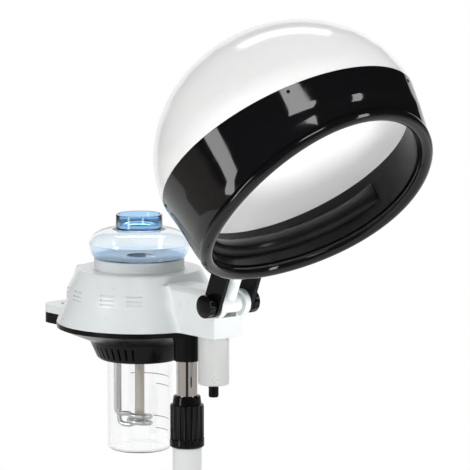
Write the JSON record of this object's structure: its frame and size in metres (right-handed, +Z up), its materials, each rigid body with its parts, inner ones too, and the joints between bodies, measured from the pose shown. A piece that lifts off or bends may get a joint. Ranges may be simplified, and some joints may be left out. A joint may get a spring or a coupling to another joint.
{
  "type": "hair steamer",
  "caption": "Floor-standing salon hair steamer: tilting domed hood on a boiler head with water bottle and glass jar, on a height-adjustable mast with a rolling star base.",
  "frame": {"origin": "centre of the base hub's underside, on the mast axis", "axes": "+Z up the mast, +X from the mast towards the hood, XZ the hood's plane of symmetry"},
  "size_m": [0.6718, 0.5486, 1.2568],
  "materials": {
    "white_plastic": "smooth moulded white",
    "milk_dome": "polished milk-white dome",
    "black_gloss": "high-gloss black",
    "black_satin": "satin black",
    "white_paint": "powder coat",
    "chrome": "polished",
    "steel": "brushed",
    "blue_clear": "clear blue",
    "clear_glass": "clear",
    "cloudy_plastic": "translucent",
    "ivory_plastic": "plain",
    "rubber": "matt",
    "board": "coated",
    "amber_lens": "clear amber"
  },
  "bodies": {
    "base": {"base_hub": "black_satin", "column_tube": "white_paint", "collet_sleeve": "ivory_plastic", "base_leg_1": "white_paint", "base_leg_2": "white_paint", "base_leg_3": "white_paint", "base_leg_4": "white_paint", "base_leg_5": "white_paint"},
    "twist_collar": {"height_collar": "black_satin"},
    "mast": {"inner_mast": "chrome"},
    "head": {"lower_shell": "black_gloss", "upper_housing": "white_plastic", "control_panel": "white_plastic", "indicator_lens": "amber_lens", "control_board": "board", "power_gland": "rubber", "bottle_collar": "white_plastic", "jar_gasket": "rubber", "heater_plate": "steel", "heating_element": "chrome", "feed_tube": "ivory_plastic", "thermostat": "ivory_plastic", "steam_pipe": "ivory_plastic", "hinge_pin_left": "steel", "hinge_pin_right": "steel"},
    "bottle": {"water_bottle": "blue_clear", "bottle_valve_cap": "white_plastic"},
    "valve": {"valve_pin": "steel"},
    "jar": {"glass_jar": "clear_glass"},
    "cup": {"condensate_cup": "cloudy_plastic"},
    "drain": {"drain_cap": "black_satin"},
    "switch": {"power_switch": "black_satin"},
    "hood": {"hood_dome": "milk_dome", "hood_ring": "black_gloss", "hood_liner": "black_gloss", "steam_channel": "black_gloss", "hinge_bracket": "black_satin", "steam_elbow": "white_plastic"},
    "knob_left": {"hinge_knob_left": "black_satin"},
    "knob_right": {"hinge_knob_right": "black_satin"},
    "caster_1": {"caster_fork_1": "black_satin"},
    "wheel_1": {"caster_wheel_1": "rubber"},
    "caster_2": {"caster_fork_2": "black_satin"},
    "wheel_2": {"caster_wheel_2": "rubber"},
    "caster_3": {"caster_fork_3": "black_satin"},
    "wheel_3": {"caster_wheel_3": "rubber"},
    "caster_4": {"caster_fork_4": "black_satin"},
    "wheel_4": {"caster_wheel_4": "rubber"},
    "caster_5": {"caster_fork_5": "black_satin"},
    "wheel_5": {"caster_wheel_5": "rubber"}
  },
  "joints": [
    {"name": "collar_twist", "type": "hinge", "parent": "base", "child": "twist_collar", "pos_m": [0, 0, 0.64], "axis": [0, 0, 1], "range_deg": [-30, 90]},
    {"name": "mast_slide", "type": "slide", "parent": "base", "child": "mast", "axis": [0, 0, 1], "range_m": [-0.045, 0.28]},
    {"name": "head_swivel", "type": "hinge", "parent": "mast", "child": "head", "pos_m": [0, 0, 0.64], "axis": [0, 0, 1], "range_deg": [-180, 180]},
    {"name": "hood_tilt", "type": "hinge", "parent": "head", "child": "hood", "pos_m": [0.092, 0, 0.785], "axis": [0, 1, 0], "range_deg": [-25, 35]},
    {"name": "knob_left_turn", "type": "hinge", "parent": "hood", "child": "knob_left", "pos_m": [0.092, 0, 0.785], "axis": [0, -1, 0], "range_deg": [0, 180]},
    {"name": "knob_right_turn", "type": "hinge", "parent": "hood", "child": "knob_right", "pos_m": [0.092, 0, 0.785], "axis": [0, 1, 0], "range_deg": [0, 180]},
    {"name": "bottle_lift", "type": "slide", "parent": "head", "child": "bottle", "axis": [0, 0, 1], "range_m": [0, 0.08]},
    {"name": "valve_press", "type": "slide", "parent": "bottle", "child": "valve", "axis": [0, 0, 1], "range_m": [0, 0.004], "stiffness_N_per_m": 150, "springref_m": -0.003},
    {"name": "jar_twist", "type": "hinge", "parent": "head", "child": "jar", "pos_m": [-0.108, 0, 0.64], "axis": [0, 0, 1], "range_deg": [0, 120]},
    {"name": "cup_twist", "type": "hinge", "parent": "head", "child": "cup", "pos_m": [0.0595, 0, 0.64], "axis": [0, 0, 1], "range_deg": [0, 60]},
    {"name": "drain_cap_twist", "type": "hinge", "parent": "cup", "child": "drain", "pos_m": [0.0595, 0, 0.64], "axis": [0, 0, 1], "range_deg": [0, 180]},
    {"name": "switch_rock", "type": "hinge", "parent": "head", "child": "switch", "pos_m": [-0.2072, 0.014, 0.79512], "axis": [0, 1, 0], "range_deg": [-8, 8]},
    {"name": "caster_1_swivel", "type": "hinge", "parent": "base", "child": "caster_1", "pos_m": [0.268, 0, 0.0077], "axis": [0, 0, 1], "continuous": true},
    {"name": "wheel_1_spin", "type": "hinge", "parent": "caster_1", "child": "wheel_1", "pos_m": [0.254, 0, -0.0303], "axis": [0, 1, 0], "continuous": true},
    {"name": "caster_2_swivel", "type": "hinge", "parent": "base", "child": "caster_2", "pos_m": [0.08282, 0.25488, 0.0077], "axis": [0, 0, 1], "continuous": true},
    {"name": "wheel_2_spin", "type": "hinge", "parent": "caster_2", "child": "wheel_2", "pos_m": [0.07849, 0.24157, -0.0303], "axis": [-0.9511, 0.309, 0], "continuous": true},
    {"name": "caster_3_swivel", "type": "hinge", "parent": "base", "child": "caster_3", "pos_m": [-0.21682, 0.15753, 0.0077], "axis": [0, 0, 1], "continuous": true},
    {"name": "wheel_3_spin", "type": "hinge", "parent": "caster_3", "child": "wheel_3", "pos_m": [-0.20549, 0.1493, -0.0303], "axis": [-0.5878, -0.809, 0], "continuous": true},
    {"name": "caster_4_swivel", "type": "hinge", "parent": "base", "child": "caster_4", "pos_m": [-0.21682, -0.15753, 0.0077], "axis": [0, 0, 1], "continuous": true},
    {"name": "wheel_4_spin", "type": "hinge", "parent": "caster_4", "child": "wheel_4", "pos_m": [-0.20549, -0.1493, -0.0303], "axis": [0.5878, -0.809, 0], "continuous": true},
    {"name": "caster_5_swivel", "type": "hinge", "parent": "base", "child": "caster_5", "pos_m": [0.08282, -0.25488, 0.0077], "axis": [0, 0, 1], "continuous": true},
    {"name": "wheel_5_spin", "type": "hinge", "parent": "caster_5", "child": "wheel_5", "pos_m": [0.07849, -0.24157, -0.0303], "axis": [0.9511, 0.309, 0], "continuous": true}
  ]
}
